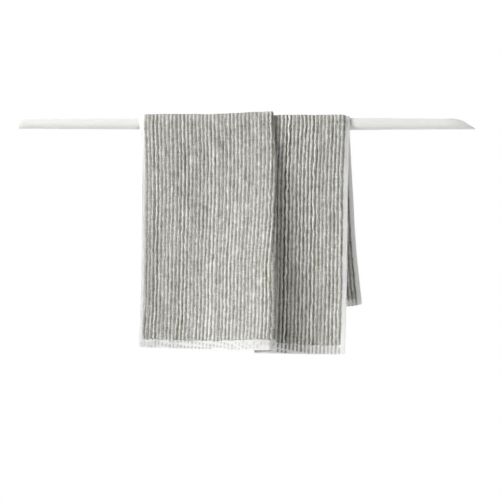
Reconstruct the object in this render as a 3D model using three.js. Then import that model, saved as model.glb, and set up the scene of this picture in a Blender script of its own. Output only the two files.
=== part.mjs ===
// Striped terry hand towel hanging over a plain round rod, in millimetres, +Z up.
// X runs along the rod from the middle of its square left end, and -Y faces the viewer.
// The towel falls down the front, and its shorter end falls down the back. One long pleat laps the
// left part of the cloth over the right part, from the front hem over the rod to the back hem.
import * as THREE from 'three';

// Rod: a round rod that swells a little towards the cloth, square at the left, cut on a slant at the right
const ROD_SIDES = 24;
const ROD_TAPER = [
  { x: 0, radius: 9.8 },
  { x: 120, radius: 10.7 },
  { x: 250, radius: 11.2 },
  { x: 480, radius: 12.2 },
  { x: 700, radius: 12.6 },
  { x: 790, radius: 11.8 },
  { x: 880, radius: 11.3 },
];
// Slanted end, from its eased top edge down to the tip: height above the axis as a share of the radius
const ROD_END = [
  { height: 1, x: 899 },
  { height: 0.84, x: 911 },
  { height: 0.52, x: 921.3 },
  { height: -1, x: 947 },
];

// Cloth: terry with loops on both faces, flat woven along all four edges
const PILE_THICKNESS = 3.8;
const FLAT_THICKNESS = 2.2;
const HEM_DEPTH = 19;
const SELVEDGE_WIDTH = 9.5;
const PILE_EDGE = 1.5;
const CLOTH_WIDTH = 500;
// How far the terry's inner face would run clear of the rod on top of it. It is close under the pleat and
// looser beside it. The selvedges are thinner than the terry, so they stay clear of the rod with less.
const ROD_CLEARANCE = [
  { x: 246, gap: -0.1 },
  { x: 253, gap: 0 },
  { x: 257, gap: 1.7 },
  { x: 262, gap: 4.9 },
  { x: 267, gap: 5.7 },
  { x: 300, gap: 6.2 },
  { x: 360, gap: 5.4 },
  { x: 420, gap: 3.4 },
  { x: 465, gap: 1.4 },
  { x: 500, gap: 0.7 },
  { x: 520, gap: 1.2 },
  { x: 545, gap: 3.2 },
  { x: 600, gap: 3.2 },
  { x: 650, gap: 3.3 },
  { x: 668, gap: 3.3 },
  { x: 675, gap: 2.6 },
  { x: 682, gap: 0.8 },
  { x: 690, gap: 0.1 },
  { x: 710, gap: 0.3 },
];
// Over this drop the cloth leaves that line for an even one, this far from the rod's front and back
const FREE_DROP = 130;
const FREE_GAP = 3;

// The section across the cloth at a few drops below the rod's axis, as places along the rod:
// left is the left selvedge, fold the pleat's outer edge, tuck its hidden inner edge, right the right
// selvedge. The outer layer rises over the pleat from lift, and meets the fold at a slope of flare
// degrees. hang, lap and crest are how far the layer next to the rod, the middle layer and the outer
// layer stand out from the rod's cloth line.
const SECTION_COLUMNS = ['drop', 'left', 'lift', 'tuck', 'fold', 'right', 'hang', 'lap', 'crest', 'flare'];
const FRONT_SECTIONS = namedRows(SECTION_COLUMNS, [
  [0, 251, 362, 489, 526.5, 686, 0, 4.4, 9.6, 0],
  [50, 252.5, 372, 489, 530, 684.2, 0.6, 4.8, 12.2, 2.5],
  [120, 254, 382, 488.5, 531.5, 681.6, 0.4, 5.6, 16.8, 7.5],
  [220, 253, 380, 488, 532, 681, -0.4, 6.6, 22.4, 10],
  [330, 252, 360, 488, 532.5, 679.4, 0.2, 8.2, 29.5, 11.5],
  [410, 249.5, 334, 488.5, 532.5, 677.2, 0.8, 10.4, 35.5, 11],
  [470, 246, 316, 489.5, 532, 675.4, 1.2, 12.6, 39, 10.5],
]);
const BACK_SECTIONS = namedRows(SECTION_COLUMNS, [
  [0, 251, 362, 489, 526.5, 686, 0, 4.4, 9.6, 0],
  [60, 253, 370, 491, 528, 689.2, 0.6, 5, 11.8, 2],
  [150, 258, 382, 497, 531, 694.2, 1.4, 5.8, 14, 4],
  [260, 263, 394, 504, 536, 700.8, 2, 6.6, 16.5, 6],
  [380, 268, 400, 511, 541, 713, 1.6, 7.6, 19, 7],
]);

// Where the hems hang, as drops below the rod's axis, by distance across the flat cloth
const HEM_LINE = [
  { across: 0, front: 461, back: 394 },
  { across: 30, front: 463.5, back: 392 },
  { across: 140, front: 466.5, back: 386 },
  { across: 262, front: 467, back: 366 },
  { across: 280, front: 466.6, back: 364 },
  { across: 300, front: 472.5, back: 373 },
  { across: 318, front: 474.5, back: 379 },
  { across: 400, front: 476.5, back: 384 },
  { across: 478, front: 478, back: 379 },
  { across: 500, front: 476.5, back: 375 },
];

// Soft swells and hollows of the single layers: x is along the rod, drop is from its axis, and out is
// how far the cloth stands out (minus: in). lean turns the long axis from upright, in degrees.
const FRONT_SWELLS = [
  { x: 250, drop: 400, wide: 34, tall: 130, lean: 0, out: 5 },
  { x: 308, drop: 250, wide: 24, tall: 110, lean: 4, out: -1.8 },
  { x: 345, drop: 380, wide: 24, tall: 80, lean: -12, out: -2.4 },
  { x: 322, drop: 120, wide: 30, tall: 60, lean: -30, out: 2 },
  { x: 403, drop: 36, wide: 13, tall: 34, lean: -42, out: 2.6 },
  { x: 432, drop: 46, wide: 12, tall: 36, lean: -42, out: -3 },
  { x: 384, drop: 190, wide: 18, tall: 60, lean: -38, out: -2.2 },
  { x: 606, drop: 230, wide: 30, tall: 140, lean: 3, out: -2.2 },
  { x: 622, drop: 400, wide: 36, tall: 110, lean: 0, out: -2.6 },
  { x: 650, drop: 44, wide: 20, tall: 40, lean: 30, out: -2 },
  { x: 676, drop: 420, wide: 26, tall: 110, lean: 0, out: 1.5 },
];
const BACK_SWELLS = [
  { x: 290, drop: 240, wide: 36, tall: 130, lean: 6, out: 3.5 },
  { x: 360, drop: 330, wide: 30, tall: 110, lean: -8, out: -3 },
  { x: 610, drop: 220, wide: 34, tall: 140, lean: 8, out: 3 },
  { x: 700, drop: 360, wide: 30, tall: 90, lean: 4, out: 5 },
];
// Over these widths the swells die out towards the pleat
const SWELL_FADE = 45;

// How finely each run of the cloth is divided
const RUN_STEPS = { outer: 13, fold: 6, middle: 2, tuck: 6, under: 9 };
const FRONT_STEPS = 10;
const WRAP_STEPS = 10;
const BACK_STEPS = 8;

// A table's rows, each with its values named by the columns
function namedRows(columns, rows) {
  return rows.map((row) => Object.fromEntries(columns.map((column, i) => [column, row[i]])));
}

// One column of a table, read between its rows along a smooth curve
function follow(rows, key, at, column) {
  const last = rows.length - 1;
  let i = 0;
  while (i < last - 1 && at > rows[i + 1][key]) {
    i += 1;
  }
  const slope = (a, b) => (rows[b][column] - rows[a][column]) / (rows[b][key] - rows[a][key]);
  const step = rows[i + 1][key] - rows[i][key];
  const t = THREE.MathUtils.clamp((at - rows[i][key]) / step, 0, 1);
  const startSlope = slope(Math.max(i - 1, 0), i + 1) * step;
  const endSlope = slope(i, Math.min(i + 2, last)) * step;
  return (
    rows[i][column] * (2 * t ** 3 - 3 * t ** 2 + 1) +
    startSlope * (t ** 3 - 2 * t ** 2 + t) +
    rows[i + 1][column] * (3 * t ** 2 - 2 * t ** 3) +
    endSlope * (t ** 3 - t ** 2)
  );
}

// How far the terry's inner face runs from the rod's axis, at a place along it and a drop below it
function clothReach(x, drop) {
  const free = THREE.MathUtils.smoothstep(drop, 0, FREE_DROP);
  const gap = THREE.MathUtils.lerp(follow(ROD_CLEARANCE, 'x', x, 'gap'), FREE_GAP, free);
  return follow(ROD_TAPER, 'x', x, 'radius') + gap;
}

// Height of a curve that leaves level ground and reaches a height at a slope, at a share of its width
function riseTo(height, slope, width, share) {
  const t = THREE.MathUtils.clamp(share, 0, 1);
  return height * (3 * t ** 2 - 2 * t ** 3) + Math.tan(slope) * width * (t ** 3 - t ** 2);
}

// Sum of the swells at one place on a drop
function swellAt(swells, x, drop) {
  let out = 0;
  for (const swell of swells) {
    const lean = THREE.MathUtils.degToRad(swell.lean);
    const dx = x - swell.x;
    const dz = swell.drop - drop;
    const across = dx * Math.cos(lean) - dz * Math.sin(lean);
    const along = dx * Math.sin(lean) + dz * Math.cos(lean);
    out += swell.out * Math.exp(-((across / swell.wide) ** 2) - (along / swell.tall) ** 2);
  }
  return out;
}

// The section at one level, as points from the left selvedge through the pleat to the right selvedge.
// x is along the rod and out is the stand-off from the rod's cloth line.
function sectionPoints(sections, swells, drop) {
  const at = {};
  for (const column of Object.keys(sections[0])) {
    at[column] = follow(sections, 'drop', drop, column);
  }
  const foldRadius = (at.crest - at.lap) / 2;
  const tuckRadius = at.lap / 2;
  const foldX = at.fold - foldRadius;
  const tuckX = at.tuck + tuckRadius;
  // where the rising layer goes over into the round of the fold
  const flare = THREE.MathUtils.degToRad(at.flare);
  const brimX = foldX - foldRadius * Math.sin(flare);
  const brimOut = at.lap + foldRadius * (1 + Math.cos(flare));
  const riseWidth = brimX - at.lift;
  // swells grow in below the rod, where the cloth hangs free
  const free = THREE.MathUtils.smoothstep(drop, 0, SWELL_FADE);
  const points = [];

  const outerWidth = brimX - at.left;
  const outerPlaces = [0, SELVEDGE_WIDTH, SELVEDGE_WIDTH + PILE_EDGE];
  const fieldStart = outerPlaces[2];
  for (let i = 1; i <= RUN_STEPS.outer; i += 1) {
    outerPlaces.push(fieldStart + ((outerWidth - fieldStart) * i) / RUN_STEPS.outer);
  }
  for (const place of outerPlaces) {
    const x = at.left + place;
    const rise = riseTo(brimOut, flare, riseWidth, (x - at.lift) / riseWidth);
    const fade = 1 - THREE.MathUtils.smoothstep(x, at.tuck - SWELL_FADE, at.tuck);
    points.push({ x, out: rise + free * fade * swellAt(swells, x, drop) });
  }
  for (let i = 1; i < RUN_STEPS.fold; i += 1) {
    const turn = THREE.MathUtils.lerp(-flare, Math.PI, i / RUN_STEPS.fold);
    points.push({
      x: foldX + foldRadius * Math.sin(turn),
      out: at.lap + foldRadius * (1 + Math.cos(turn)),
    });
  }
  for (let i = 0; i <= RUN_STEPS.middle; i += 1) {
    points.push({ x: THREE.MathUtils.lerp(foldX, tuckX, i / RUN_STEPS.middle), out: at.lap });
  }
  for (let i = 1; i < RUN_STEPS.tuck; i += 1) {
    const turn = (Math.PI * i) / RUN_STEPS.tuck;
    points.push({ x: tuckX - tuckRadius * Math.sin(turn), out: tuckRadius * (1 + Math.cos(turn)) });
  }
  const underWidth = at.right - tuckX;
  const underPlaces = [];
  const fieldEnd = underWidth - SELVEDGE_WIDTH - PILE_EDGE;
  for (let i = 0; i <= RUN_STEPS.under; i += 1) {
    underPlaces.push((fieldEnd * i) / RUN_STEPS.under);
  }
  underPlaces.push(underWidth - SELVEDGE_WIDTH, underWidth);
  for (const place of underPlaces) {
    const x = tuckX + place;
    const fade = THREE.MathUtils.smoothstep(x, at.fold, at.fold + SWELL_FADE);
    points.push({ x, out: free * fade * swellAt(swells, x, drop) });
  }
  for (const point of points) {
    point.out += at.hang;
  }
  return points;
}

// Distance of each point of a section across the flat cloth, from the left selvedge
function acrossCloth(points) {
  const lengths = [0];
  for (let i = 1; i < points.length; i += 1) {
    const step = Math.hypot(points[i].x - points[i - 1].x, points[i].out - points[i - 1].out);
    lengths.push(lengths[i - 1] + step);
  }
  return lengths.map((length) => (length * CLOTH_WIDTH) / lengths[lengths.length - 1]);
}

// Rows of the cloth from the front hem over the rod to the back hem. share is the part of the drop.
function clothRows() {
  const rows = [];
  const frontDrop = FRONT_SECTIONS[FRONT_SECTIONS.length - 1].drop;
  const backDrop = BACK_SECTIONS[BACK_SECTIONS.length - 1].drop;
  const hemShares = (drop) => [1, 1 - HEM_DEPTH / drop, 1 - (HEM_DEPTH + PILE_EDGE) / drop];
  const drops = (drop, steps) => {
    const shares = hemShares(drop);
    const field = shares[2];
    for (let i = 1; i < steps; i += 1) {
      shares.push(field * (1 - i / steps));
    }
    return shares;
  };
  for (const share of drops(frontDrop, FRONT_STEPS)) {
    rows.push({ side: 'front', share, turn: 0 });
  }
  for (let i = 0; i <= WRAP_STEPS; i += 1) {
    rows.push({ side: 'wrap', share: 0, turn: (Math.PI * i) / WRAP_STEPS });
  }
  for (const share of drops(backDrop, BACK_STEPS).reverse()) {
    rows.push({ side: 'back', share, turn: Math.PI });
  }
  return rows;
}

// Middle of the cloth's thickness at every crossing of a row and a column
function clothGrid() {
  return clothRows().map((row) => {
    const back = row.side === 'back';
    const sections = back ? BACK_SECTIONS : FRONT_SECTIONS;
    const swells = back ? BACK_SWELLS : FRONT_SWELLS;
    const drop = row.share * sections[sections.length - 1].drop;
    const points = sectionPoints(sections, swells, drop);
    const across = acrossCloth(points);
    return points.map((point, i) => {
      const reach = clothReach(point.x, drop) + PILE_THICKNESS / 2 + point.out;
      const hem = follow(HEM_LINE, 'across', across[i], back ? 'back' : 'front');
      return new THREE.Vector3(
        point.x,
        -reach * Math.cos(row.turn),
        reach * Math.sin(row.turn) - row.share * hem,
      );
    });
  });
}

// Outward direction at a crossing, away from the rod on the front drop's outer layer
function gridNormal(grid, row, column) {
  const up = grid[Math.min(row + 1, grid.length - 1)][column].clone();
  up.sub(grid[Math.max(row - 1, 0)][column]);
  const right = grid[row][Math.min(column + 1, grid[row].length - 1)].clone();
  right.sub(grid[row][Math.max(column - 1, 0)]);
  return right.cross(up).normalize();
}

function triangleMesh(name, positions, triangles, material) {
  const geometry = new THREE.BufferGeometry();
  geometry.setAttribute('position', new THREE.Float32BufferAttribute(positions, 3));
  geometry.setIndex(triangles);
  geometry.computeVertexNormals();
  const mesh = new THREE.Mesh(geometry, material);
  mesh.name = name;
  return mesh;
}

// The cloth as one closed solid: two faces half a thickness either side of the middle, and four edges
function makeTowel(material) {
  const grid = clothGrid();
  const rows = grid.length;
  const columns = grid[0].length;
  const positions = [];
  for (const side of [1, -1]) {
    for (let row = 0; row < rows; row += 1) {
      for (let column = 0; column < columns; column += 1) {
        const flat = Math.min(row, rows - 1 - row) < 2 || Math.min(column, columns - 1 - column) < 2;
        const thickness = flat ? FLAT_THICKNESS : PILE_THICKNESS;
        const point = grid[row][column].clone();
        point.addScaledVector(gridNormal(grid, row, column), (side * thickness) / 2);
        positions.push(point.x, point.y, point.z);
      }
    }
  }
  const outer = (row, column) => row * columns + column;
  const inner = (row, column) => rows * columns + row * columns + column;
  const triangles = [];
  const quad = (a, b, c, d) => triangles.push(a, b, c, a, c, d);
  for (let row = 0; row < rows - 1; row += 1) {
    for (let column = 0; column < columns - 1; column += 1) {
      quad(outer(row, column), outer(row, column + 1), outer(row + 1, column + 1), outer(row + 1, column));
      quad(inner(row, column), inner(row + 1, column), inner(row + 1, column + 1), inner(row, column + 1));
    }
    const end = columns - 1;
    quad(outer(row, 0), outer(row + 1, 0), inner(row + 1, 0), inner(row, 0));
    quad(outer(row, end), inner(row, end), inner(row + 1, end), outer(row + 1, end));
  }
  for (let column = 0; column < columns - 1; column += 1) {
    const end = rows - 1;
    quad(outer(0, column), inner(0, column), inner(0, column + 1), outer(0, column + 1));
    quad(outer(end, column), outer(end, column + 1), inner(end, column + 1), inner(end, column));
  }
  return triangleMesh('towel', positions, triangles, material);
}

// Where the slanted end lies at a height given as a share of the radius
function rodEndX(height) {
  let i = 0;
  while (i < ROD_END.length - 2 && height < ROD_END[i + 1].height) {
    i += 1;
  }
  const upper = ROD_END[i];
  const lower = ROD_END[i + 1];
  return THREE.MathUtils.mapLinear(height, upper.height, lower.height, upper.x, lower.x);
}

// The rod as rings of points round its axis. The last ring follows the slanted end, whose face is made
// of level strips between the two sides.
function makeRod(material) {
  const half = ROD_SIDES / 2;
  const positions = [];
  const triangles = [];
  // the first and the last point of a ring's two sides are at the top and the bottom
  const angle = (i) => Math.PI / 2 - (2 * Math.PI * i) / ROD_SIDES;
  for (const station of [...ROD_TAPER, { x: null, radius: ROD_TAPER[ROD_TAPER.length - 1].radius }]) {
    for (let i = 0; i < ROD_SIDES; i += 1) {
      const height = Math.sin(angle(i));
      const x = station.x === null ? rodEndX(height) : station.x;
      positions.push(x, -station.radius * Math.cos(angle(i)), station.radius * height);
    }
  }
  const at = (ring, i) => ring * ROD_SIDES + (i % ROD_SIDES);
  const lastRing = ROD_TAPER.length;
  for (let ring = 0; ring < lastRing; ring += 1) {
    for (let i = 0; i < ROD_SIDES; i += 1) {
      const [a, b, c, d] = [at(ring, i), at(ring, i + 1), at(ring + 1, i + 1), at(ring + 1, i)];
      triangles.push(a, b, c, a, c, d);
    }
  }
  for (let i = 0; i < half; i += 1) {
    const corners = [i, i + 1, ROD_SIDES - i - 1, ROD_SIDES - i];
    const sides = (ring) => corners.map((corner) => at(ring, corner));
    for (const ring of [0, lastRing]) {
      const [frontTop, frontLow, backLow, backTop] = sides(ring);
      const strip = [];
      if (i < half - 1) {
        strip.push([frontTop, frontLow, backLow]);
      }
      if (i > 0) {
        strip.push([frontTop, backLow, backTop]);
      }
      for (const [a, b, c] of strip) {
        triangles.push(...(ring === 0 ? [a, c, b] : [a, b, c]));
      }
    }
  }
  return triangleMesh('rod', positions, triangles, material);
}

const terry = new THREE.MeshStandardMaterial({ color: 0xb4b3ab, roughness: 0.95, metalness: 0 });
const whitePaint = new THREE.MeshStandardMaterial({ color: 0xeeeeea, roughness: 0.6, metalness: 0 });

const towelOnRod = new THREE.Group();
towelOnRod.add(makeRod(whitePaint), makeTowel(terry));

export default towelOnRod;
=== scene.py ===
import math

import bpy
import numpy as np
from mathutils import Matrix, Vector


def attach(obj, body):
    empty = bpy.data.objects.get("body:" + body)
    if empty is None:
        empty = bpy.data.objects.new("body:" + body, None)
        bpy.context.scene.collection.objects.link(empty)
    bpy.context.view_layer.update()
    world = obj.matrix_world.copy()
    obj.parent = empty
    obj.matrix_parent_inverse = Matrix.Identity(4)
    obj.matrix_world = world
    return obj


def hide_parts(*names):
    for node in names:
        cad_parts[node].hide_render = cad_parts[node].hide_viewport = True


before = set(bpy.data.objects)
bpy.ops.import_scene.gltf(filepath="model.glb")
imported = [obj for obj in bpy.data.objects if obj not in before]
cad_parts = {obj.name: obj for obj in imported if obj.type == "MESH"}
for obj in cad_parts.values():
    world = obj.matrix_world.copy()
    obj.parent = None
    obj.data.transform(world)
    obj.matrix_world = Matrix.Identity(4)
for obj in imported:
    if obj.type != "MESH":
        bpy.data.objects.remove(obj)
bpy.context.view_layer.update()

# Striped terry hand towel over a plain round rod. X runs along the rod, -Y faces the viewer, +Z is up.
# Sizes are in millimetres until they go into a mesh or a node tree, which are in metres.
MM = 0.001


def table(columns, *rows):
    """A short table as one array for each named column."""
    return dict(zip(columns.split(), np.array(rows, float).T))


# Rod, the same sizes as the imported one: a taper, and a slanted right end from its top edge to its tip
ROD_TAPER = table(
    "x radius",
    (0, 9.8), (120, 10.7), (250, 11.2), (480, 12.2), (700, 12.6), (790, 11.8), (880, 11.3),
)
ROD_END = table(
    "height x",
    (-1, 947), (0.52, 921.3), (0.84, 911), (1, 899),
)

# Cloth: cut size, flat woven edges, and the stripes of the terry between them
CLOTH_WIDTH = 500
CLOTH_LENGTH = 900
HEM_DEPTH = 19
SELVEDGE_WIDTH = 9.5
PILE_THICKNESS = 3.8
DARK_RIBS = 64
LIGHT_RIBS = DARK_RIBS - 1
FIRST_DARK_RIB = 12.7
LAST_DARK_RIB = 488.8
RIB_PITCH = (LAST_DARK_RIB - FIRST_DARK_RIB) / LIGHT_RIBS
FIRST_LIGHT_RIB = FIRST_DARK_RIB + RIB_PITCH / 2

# Gap between the cloth and the top of the rod, by distance along the rod
ROD_CLEARANCE = table(
    "x gap",
    (246, -0.1), (253, 0), (257, 1.7), (262, 4.9), (267, 5.7), (300, 6.2),
    (360, 5.4), (420, 3.4), (465, 1.4), (500, 0.7), (520, 1.2), (545, 3.2),
    (600, 3.2), (650, 3.3), (668, 3.3), (675, 2.6), (682, 0.8), (690, 0.1),
    (710, 0.3),
)
# Over this drop the gap goes over into an even one, in front of the rod and behind it
FREE_DROP = 130
FREE_GAP = 3

# Sections across the hanging cloth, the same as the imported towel's. drop is below the rod's axis. left is
# the left selvedge, tuck and fold the pleat's inner and outer edges, right the right selvedge. The outer
# layer rises over the pleat from lift, and meets the fold at a slope of flare degrees. hang, lap and crest
# are how far the layer next to the rod, the middle layer and the outer layer stand out.
SECTION_COLUMNS = "drop left lift tuck fold right hang lap crest flare"
FRONT_SECTIONS = table(
    SECTION_COLUMNS,
    (0, 251, 362, 489, 526.5, 686, 0, 4.4, 9.6, 0),
    (50, 252.5, 372, 489, 530, 684.2, 0.6, 4.8, 12.2, 2.5),
    (120, 254, 382, 488.5, 531.5, 681.6, 0.4, 5.6, 16.8, 7.5),
    (220, 253, 380, 488, 532, 681, -0.4, 6.6, 22.4, 10),
    (330, 252, 360, 488, 532.5, 679.4, 0.2, 8.2, 29.5, 11.5),
    (410, 249.5, 334, 488.5, 532.5, 677.2, 0.8, 10.4, 35.5, 11),
    (470, 246, 316, 489.5, 532, 675.4, 1.2, 12.6, 39, 10.5),
)
BACK_SECTIONS = table(
    SECTION_COLUMNS,
    (0, 251, 362, 489, 526.5, 686, 0, 4.4, 9.6, 0),
    (60, 253, 370, 491, 528, 689.2, 0.6, 5, 11.8, 2),
    (150, 258, 382, 497, 531, 694.2, 1.4, 5.8, 14, 4),
    (260, 263, 394, 504, 536, 700.8, 2, 6.6, 16.5, 6),
    (380, 268, 400, 511, 541, 713, 1.6, 7.6, 19, 7),
)
# How much more or less cloth than their lines the layers take up on the front drop: the outer one, the
# part that is hidden in the pleat, and the under one. The back drop has the first row's all the way down.
GATHER = table(
    "drop outer hidden under",
    (0, -0.016, 0.092, 0),
    (50, 0.004, 0.012, 0.012),
    (120, 0.034, -0.062, 0.03),
    (220, 0.081, -0.15, 0.06),
    (290, 0.121, -0.223, 0.078),
    (330, 0.129, -0.232, 0.085),
    (400, 0.127, -0.215, 0.094),
    (470, 0.136, -0.215, 0.1),
)

# Where the hems hang below the rod's axis, by distance across the flat cloth
HEM_LINE = table(
    "across front back",
    (0, 461, 394), (30, 463.5, 392), (140, 466.5, 386), (262, 467, 366), (280, 466.6, 364),
    (300, 472.5, 373), (318, 474.5, 379), (400, 476.5, 384), (478, 478, 379), (500, 476.5, 375),
)

# Soft swells and hollows of the single layers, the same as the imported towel's
FRONT_SWELLS = table(
    "x drop wide tall lean out",
    (250, 400, 34, 130, 0, 5),
    (308, 250, 24, 110, 4, -1.8),
    (345, 380, 24, 80, -12, -2.4),
    (322, 120, 30, 60, -30, 2),
    (403, 36, 13, 34, -42, 2.6),
    (432, 46, 12, 36, -42, -3),
    (384, 190, 18, 60, -38, -2.2),
    (606, 230, 30, 140, 3, -2.2),
    (622, 400, 36, 110, 0, -2.6),
    (650, 44, 20, 40, 30, -2),
    (676, 420, 26, 110, 0, 1.5),
)
BACK_SWELLS = table(
    "x drop wide tall lean out",
    (290, 240, 36, 130, 6, 3.5),
    (360, 330, 30, 110, -8, -3),
    (610, 220, 34, 140, 8, 3),
    (700, 360, 30, 90, 4, 5),
)
# The swells come in over this drop, and beside the pleat over this distance
SWELL_FADE = 45

# How bold the stripes are, by distance across the flat cloth
BOLDNESS = table(
    "across share",
    (0, 0.78), (12, 0.78), (24, 0.87), (31.5, 1.6), (39, 0.97), (46.5, 0.76),
    (54, 0.75), (61.5, 1.02), (69, 0.87), (77, 1.07), (84.5, 1.43), (92, 1.3),
    (99.5, 0.95), (107, 0.6), (114.5, 0.95), (122, 1.12), (130, 1.04), (137, 1.07),
    (144.5, 1.24), (152, 0.91), (160, 0.75), (167.5, 0.92), (175, 1.14), (182.5, 1.12),
    (190, 0.9), (205, 0.93), (212.5, 0.9), (220, 0.8), (227.5, 0.77), (235, 0.93),
    (243, 0.8), (250, 0.85), (258, 1.25), (266, 1.3), (280, 0.95), (345, 0.99),
    (363, 1.25), (371, 1.4), (378.5, 2.75), (386.5, 1.15), (394, 0.93), (401.5, 1.36),
    (409, 1.42), (416.5, 1.17), (424.5, 1.38), (432, 1.72), (439.5, 1.14), (447, 0.9),
    (454.5, 0.86), (462, 1.1), (470, 1.32), (477.5, 1.14), (485, 1.04), (500, 1.04),
)
# How far from the hem's edge the loops begin on the front drop, by distance across the flat cloth
PILE_LINE = table(
    "across start",
    (0, 16.2), (40, 17.2), (120, 16.8), (190, 19), (225, 21.4),
    (262, 21.6), (300, 19), (350, 20.6), (420, 19.2), (500, 19),
)

# Small creases of the cloth itself, by distance across and along the flat cloth from its front left corner
CREASES = table(
    "across along wide tall lean out",
    (82, 346, 14, 20, 20, -0.9),
    (116, 300, 16, 26, -15, -0.9),
    (154, 208, 18, 30, 10, -0.8),
    (11, 190, 12, 110, 0, -0.5),
    (62, 335, 22, 60, 0, 0.6),
    (101, 365, 26, 80, 0, 0.9),
    (122, 200, 28, 40, 0, 0.7),
    (60, 110, 16, 50, 12, 0.8),
    (66, 84, 14, 40, 10, -0.9),
    (390, 400, 16, 18, 20, -0.9),
    (366, 350, 14, 24, -12, -0.8),
    (420, 250, 20, 60, 8, 0.8),
    (395, 0, 90, 12, 0, -1.3),
)
# Slight waves all over the cloth: their height, and each one's lengths across and along it and its phase
PUCKER_HEIGHT = 0.5
PUCKER_LENGTHS = ((61, 47, 0.4), (37, 83, 2.1), (143, 29, 4.4))

# How finely the cloth is followed
ROW_STEPS = {"front": 150, "wrap": 60, "back": 125}
RUN_POINTS = {"outer": 160, "fold": 24, "middle": 12, "tuck": 20, "under": 110}


def follow(rows, key, column, at):
    """One column of a table, read between its rows along a smooth curve."""
    keys = rows[key]
    values = rows[column]
    at = np.asarray(at, float)
    i = np.clip(np.searchsorted(keys, at) - 1, 0, len(keys) - 2)
    step = keys[i + 1] - keys[i]
    t = np.clip((at - keys[i]) / step, 0, 1)

    def slope(a, b):
        return (values[b] - values[a]) / (keys[b] - keys[a]) * step

    start = slope(np.maximum(i - 1, 0), i + 1)
    end = slope(i, np.minimum(i + 2, len(keys) - 1))
    return (
        values[i] * (2 * t**3 - 3 * t**2 + 1)
        + start * (t**3 - 2 * t**2 + t)
        + values[i + 1] * (3 * t**2 - 2 * t**3)
        + end * (t**3 - t**2)
    )


def smoothstep(x, low, high):
    t = np.clip((x - low) / (high - low), 0, 1)
    return t * t * (3 - 2 * t)


def hills(rows, x_key, y_key, x, y):
    """Sum of a table's leaning round hills and hollows. A lean turns the long axis from upright."""
    height = np.zeros(np.broadcast(x, y).shape)
    for i, out in enumerate(rows["out"]):
        lean = math.radians(rows["lean"][i])
        dx = x - rows[x_key][i]
        dy = y - rows[y_key][i]
        across = dx * math.cos(lean) - dy * math.sin(lean)
        along = dx * math.sin(lean) + dy * math.cos(lean)
        height += out * np.exp(-((across / rows["wide"][i]) ** 2) - (along / rows["tall"][i]) ** 2)
    return height


def rise_to(height, slope, width, share):
    """A curve at a share of its width. It leaves level ground and ends at a height and at a slope."""
    t = np.clip(share, 0, 1)
    return height * (3 * t**2 - 2 * t**3) + math.tan(slope) * width * (t**3 - t**2)


def section_line(sections, swells, drop):
    """The section across the cloth at one level, from the left selvedge through the pleat to the right."""
    at = {column: float(follow(sections, "drop", column, drop)) for column in sections}
    fold_radius = (at["crest"] - at["lap"]) / 2
    tuck_radius = at["lap"] / 2
    fold_x = at["fold"] - fold_radius
    tuck_x = at["tuck"] + tuck_radius
    # where the rising layer goes over into the round of the fold
    flare = math.radians(at["flare"])
    brim_x = fold_x - fold_radius * math.sin(flare)
    brim_out = at["lap"] + fold_radius * (1 + math.cos(flare))
    rise_width = brim_x - at["lift"]
    fold_turn = np.linspace(-flare, math.pi, RUN_POINTS["fold"])[1:-1]
    tuck_turn = np.linspace(0, math.pi, RUN_POINTS["tuck"])[1:-1]
    free = smoothstep(drop, 0, SWELL_FADE)
    upright = dict(swells, drop=-swells["drop"])

    outer_x = np.linspace(at["left"], brim_x, RUN_POINTS["outer"])
    outer = rise_to(brim_out, flare, rise_width, (outer_x - at["lift"]) / rise_width)
    fade = 1 - smoothstep(outer_x, at["tuck"] - SWELL_FADE, at["tuck"])
    outer += free * fade * hills(upright, "x", "drop", outer_x, -drop)

    middle_x = np.linspace(fold_x, tuck_x, RUN_POINTS["middle"])
    under_x = np.linspace(tuck_x, at["right"], RUN_POINTS["under"])
    fade = smoothstep(under_x, at["fold"], at["fold"] + SWELL_FADE)
    under = free * fade * hills(upright, "x", "drop", under_x, -drop)

    x = [
        outer_x,
        fold_x + fold_radius * np.sin(fold_turn),
        middle_x,
        tuck_x - tuck_radius * np.sin(tuck_turn),
        under_x,
    ]
    out = [
        outer,
        at["lap"] + fold_radius * (1 + np.cos(fold_turn)),
        np.full_like(middle_x, at["lap"]),
        tuck_radius * (1 + np.cos(tuck_turn)),
        under,
    ]
    return np.concatenate(x), np.concatenate(out) + at["hang"]


def cloth_rows():
    """Levels of the cloth, front hem to back hem: side, share of its drop, turn round the rod."""
    rows = [("front", share, 0) for share in np.linspace(1, 0, ROW_STEPS["front"], endpoint=False)]
    rows += [("front", 0, turn) for turn in np.linspace(0, math.pi, ROW_STEPS["wrap"])]
    rows += [("back", share, math.pi) for share in np.linspace(0, 1, ROW_STEPS["back"])[1:]]
    return rows


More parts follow.
